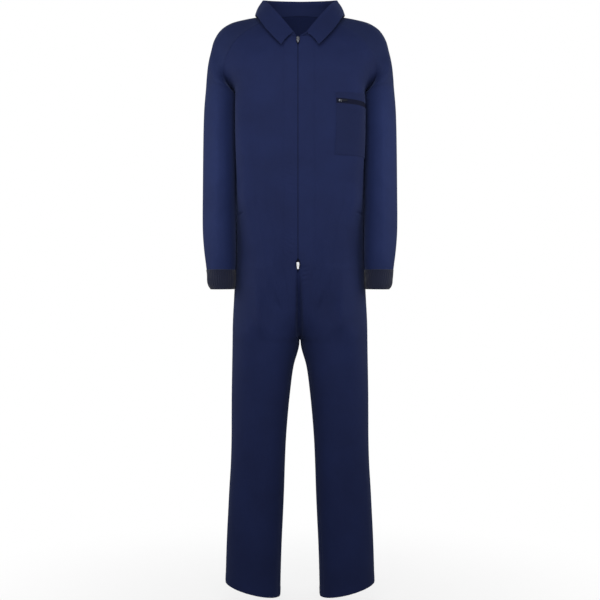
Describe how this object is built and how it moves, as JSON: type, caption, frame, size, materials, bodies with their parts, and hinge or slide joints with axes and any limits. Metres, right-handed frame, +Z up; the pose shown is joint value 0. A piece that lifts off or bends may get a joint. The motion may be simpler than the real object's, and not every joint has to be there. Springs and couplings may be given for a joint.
{
  "type": "boiler suit",
  "caption": "Long-sleeved zip-front boiler suit with turned collar, raglan sleeves, rib cuffs, chest pocket and hip pockets, held filled out with nobody in it.",
  "frame": {"origin": "where the neck base rests on the wearer's shoulders, in the middle of the body", "axes": "+Z up; the front faces -Y; the wearer's left is +X"},
  "size_m": [0.538, 0.2819, 1.6699],
  "materials": {
    "navy_twill": "matte cotton-blend twill",
    "black_rib": "matte rib knit",
    "navy_tape": "matte woven tape",
    "silver_metal": "bright cast metal",
    "dark_metal": "dark plated metal"
  },
  "bodies": {
    "suit": {"back_left": "navy_twill", "back_right": "navy_twill", "chest_pocket": "navy_twill", "chest_pocket_band": "navy_twill", "chest_zip_slider": "silver_metal", "chest_zip_tape": "navy_tape", "collar": "navy_twill", "cuff_left": "black_rib", "cuff_right": "black_rib", "front_left": "navy_twill", "front_right": "navy_twill", "hip_pocket_left": "navy_twill", "hip_pocket_right": "navy_twill", "sleeve_left": "navy_twill", "sleeve_right": "navy_twill", "zip_slider_lower": "silver_metal", "zip_slider_upper": "dark_metal", "zip_tape_left": "navy_tape", "zip_tape_right": "navy_tape"},
    "lower_pull": {"zip_pull_lower": "silver_metal"},
    "upper_pull": {"zip_pull_upper": "dark_metal"},
    "chest_pull": {"chest_zip_pull": "silver_metal"}
  },
  "joints": [
    {"name": "lower_pull_hinge", "type": "hinge", "parent": "suit", "child": "lower_pull", "pos_m": [-0.0055, -0.12879, -0.69362], "axis": [-1, 0, 0], "range_deg": [0, 165]},
    {"name": "upper_pull_hinge", "type": "hinge", "parent": "suit", "child": "upper_pull", "pos_m": [-0.0055, -0.11612, -0.08742], "axis": [-1, 0, 0], "range_deg": [0, 165]},
    {"name": "chest_pull_hinge", "type": "hinge", "parent": "suit", "child": "chest_pull", "pos_m": [0.108, -0.12885, -0.25649], "axis": [0.0219, 0.0225, -0.9995], "range_deg": [0, 165]}
  ]
}
